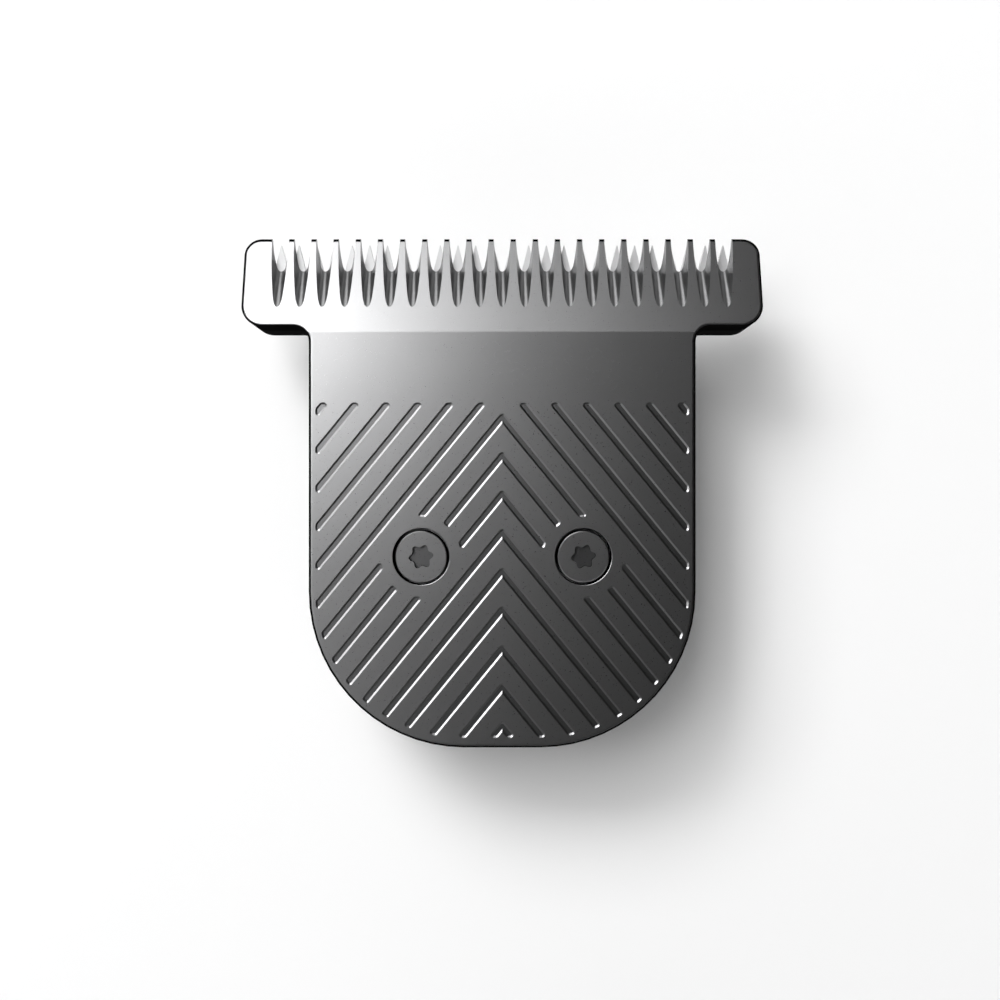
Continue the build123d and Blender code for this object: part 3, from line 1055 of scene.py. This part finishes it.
@dataclass
class StripSpring:
    """The bent strip that presses the slide and cutter up against the comb."""

    node: str = "pressure_spring"
    slot: str = "spring_steel"
    strip_width: float = 0.9 * MM
    bend_radius: float = 2.0 * MM
    tip_half: float = 8.0 * MM
    corner: float = 0.06 * MM
    sharp_angle: float = math.radians(50)

    def tree(self) -> ShapeTree:
        """Builds the tree that sweeps the strip's section along its path.

        Returns:
            The finished tree.
        """
        tree = ShapeTree("strip_spring")
        tip_x, tip_y, root_x, bar_y = [
            tree.size(name) for name in ("Tip Half", "Tip Place", "Root Half", "Bar Place")]
        level = tree.size("Level")
        right = [(tip_x, tip_y), (root_x, bar_y)]
        left = [(tree.maths("MULTIPLY", x, -1.0), y) for x, y in reversed(right)]
        corners = [tree.vector(x, y, level) for x, y in (*right, *left)]
        path = tree.add("GeometryNodeFilletCurve", {
            "Curve": tree.line(tree.by_index("VECTOR", corners), len(corners)),
            "Radius": tree.size("Bend Radius")})
        upright = tree.add("GeometryNodeSetCurveNormal", {"Curve": path.outputs["Curve"]})
        strip = tree.add("GeometryNodeCurvePrimitiveQuadrilateral", {
            "Width": tree.size("Strip Width"), "Height": tree.size("Strip Thickness")})
        section = tree.add("GeometryNodeFilletCurve", {
            "Curve": strip.outputs["Curve"], "Radius": tree.size("Corner")})
        tree.close(tree.swept(upright.outputs["Curve"], section.outputs["Curve"]))
        return tree

    def build(self) -> Object:
        """Builds the spring in the place of its solid.

        Returns:
            The spring.
        """
        low, high = solid_box(self.node)
        half = self.strip_width / 2
        mesh = self.tree().make({
            "Tip Half": self.tip_half, "Tip Place": high.y, "Root Half": high.x - half,
            "Bar Place": low.y + half, "Level": (low.z + high.z) / 2, "Bend Radius": self.bend_radius,
            "Strip Width": self.strip_width, "Strip Thickness": high.z - low.z,
            "Corner": self.corner, "Sharp Angle": self.sharp_angle})
        return dressed(mesh, "spring", self.node, Body.HEAD, self.slot, SPRING_STEEL)


@dataclass(frozen=True)
class Lamp:
    """A soft rectangular lamp: level and facing down, or tipped about the X axis.

    One that isn't mirrored lights matt surfaces and stays out of the metal's reflections.
    """

    name: str
    place: tuple[float, float, float]
    width: float
    depth: float
    power: float
    tip: float = 0.0
    mirrored: bool = True

    def build(self) -> None:
        """Hangs the lamp in the scene."""
        light = bpy.data.lights.new(self.name, "AREA")
        light.shape = "RECTANGLE"
        light.size = self.width
        light.size_y = self.depth
        light.energy = self.power
        lamp = linked(self.name, light)
        lamp.location = self.place
        lamp.rotation_euler = (self.tip, 0.0, 0.0)
        lamp.visible_glossy = self.mirrored


# The plate mirrors the key lamp's right and lower edges as its gradient, its toothed band also the
# band card, and the troughs the back card. The spot lamp gives the floor its long soft shadow.
KEY_LAMP = Lamp("key_lamp", place=(-0.512, 0.633, 1.0), width=0.776, depth=1.134, power=12.63)
SPOT_LAMP = Lamp("spot_lamp", place=(-0.75, 0.95, 0.80), width=0.80, depth=0.80, power=24.0,
                 mirrored=False)
BACK_CARD = Lamp("back_card", place=(-0.60, 1.5, 0.30), width=1.30, depth=0.54, power=5.6,
                 tip=math.radians(-90))
BAND_CARD = Lamp("band_card", place=(0.035, 0.78, 1.0), width=0.17, depth=0.70, power=0.25)
FILL_CARD = Lamp("fill_card", place=(-0.725, -0.285, 1.0), width=1.15, depth=0.63, power=1.0)


@dataclass
class Studio:
    """A pale floor, soft lamps at the upper left and a camera straight above."""

    floor_half: float = 3.0
    floor_drop: float = 0.01 * MM
    floor_colour: Colour = (0.86, 0.86, 0.86)
    floor_glow: float = 0.09
    lamps: tuple[Lamp, ...] = (KEY_LAMP, SPOT_LAMP, BACK_CARD, BAND_CARD, FILL_CARD)
    camera_x: float = -0.165 * MM
    camera_y: float = -0.73 * MM
    camera_rise: float = 90.0 * MM
    lens: float = 43.2
    clip: tuple[float, float] = (1.0 * MM, 10.0)
    sky: tuple[tuple[float, float], ...] = ((0.0, 2.4), (0.2, 2.0), (0.45, 0.25), (0.6, 0.02), (1.0, 0.004))
    sky_behind: float = 0.06
    sky_turn: tuple[float, float] = (-0.6, -0.1)

    def build(self) -> None:
        """Sets up the view, floor, sky, lamps and camera."""
        bpy.context.scene.view_settings.view_transform = "Standard"
        self.floor()
        self.world()
        for lamp in self.lamps:
            lamp.build()
        self.camera()

    def floor(self) -> None:
        """Lays the pale floor, a hair below the head."""
        half = self.floor_half
        corners = [(x * half, y * half, -self.floor_drop) for x, y in ((-1, -1), (1, -1), (1, 1), (-1, 1))]
        mesh = bpy.data.meshes.new("floor")
        mesh.from_pydata(corners, [], [(0, 1, 2, 3)])
        floor = linked("floor", mesh)
        material = bpy.data.materials.new("pale_floor")
        graph = emptied(material)
        ray = graph.add("ShaderNodeLightPath")
        seen = graph.maths("MAXIMUM", ray.outputs["Is Camera Ray"], ray.outputs["Is Glossy Ray"])
        seen = graph.maths("MAXIMUM", seen, ray.outputs["Is Transmission Ray"])
        glow = graph.add("ShaderNodeEmission", {"Strength": graph.maths("MULTIPLY", seen, self.floor_glow)})
        matte = graph.add("ShaderNodeBsdfDiffuse", {"Color": (*self.floor_colour, 1.0)})
        both = graph.add("ShaderNodeAddShader", {0: matte.outputs[0], 1: glow.outputs[0]})
        graph.add("ShaderNodeOutputMaterial", {"Surface": both.outputs[0]})
        mesh.materials.append(material)

    def world(self) -> None:
        """Makes a sky that is dark overhead and pale at the horizon, most of all in front of the tail."""
        world = bpy.data.worlds.new("studio")
        graph = emptied(world)
        heading = graph.add("ShaderNodeTexCoord").outputs["Generated"]
        parts = graph.add("ShaderNodeSeparateXYZ", {0: heading})
        ramp = graph.add("ShaderNodeValToRGB", {"Fac": parts.outputs["Z"]})
        side = graph.add("ShaderNodeMapRange", {
            "Value": parts.outputs["Y"], "From Min": self.sky_turn[0], "From Max": self.sky_turn[1],
            "To Min": 1.0, "To Max": self.sky_behind})
        stops = ramp.color_ramp.elements
        while len(stops) < len(self.sky):
            stops.new(0.5)
        for stop, (position, level) in zip(stops, self.sky):
            stop.position = position
            stop.color = (level, level, level, 1.0)
        back = graph.add("ShaderNodeBackground", {
            "Color": ramp.outputs["Color"], "Strength": side.outputs["Result"]})
        graph.add("ShaderNodeOutputWorld", {"Surface": back.outputs["Background"]})
        bpy.context.scene.world = world

    def camera(self) -> None:
        """Puts the camera straight above the plate, with the teeth at the top of the picture."""
        lens = bpy.data.cameras.new("camera")
        lens.lens = self.lens
        lens.clip_start, lens.clip_end = self.clip
        camera = linked("camera", lens)
        plate_top = solid_box(FixedBlade.node)[1].z
        camera.location = (self.camera_x, self.camera_y, plate_top + self.camera_rise)
        bpy.context.scene.camera = camera


def main() -> None:
    """Builds the head piece by piece, then the studio round it."""
    logging.basicConfig(level=logging.INFO, format="%(name)s: %(message)s")
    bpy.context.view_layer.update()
    pieces = [FixedBlade().build(), *MovingBlade().build(), Seat().build(),
              ScrewPair().build(), StripSpring().build()]
    for piece in pieces:
        LOG.info("%s: %d faces", piece.name, len(piece.data.polygons))
    Studio().build()


if __name__ == "__main__":
    main()
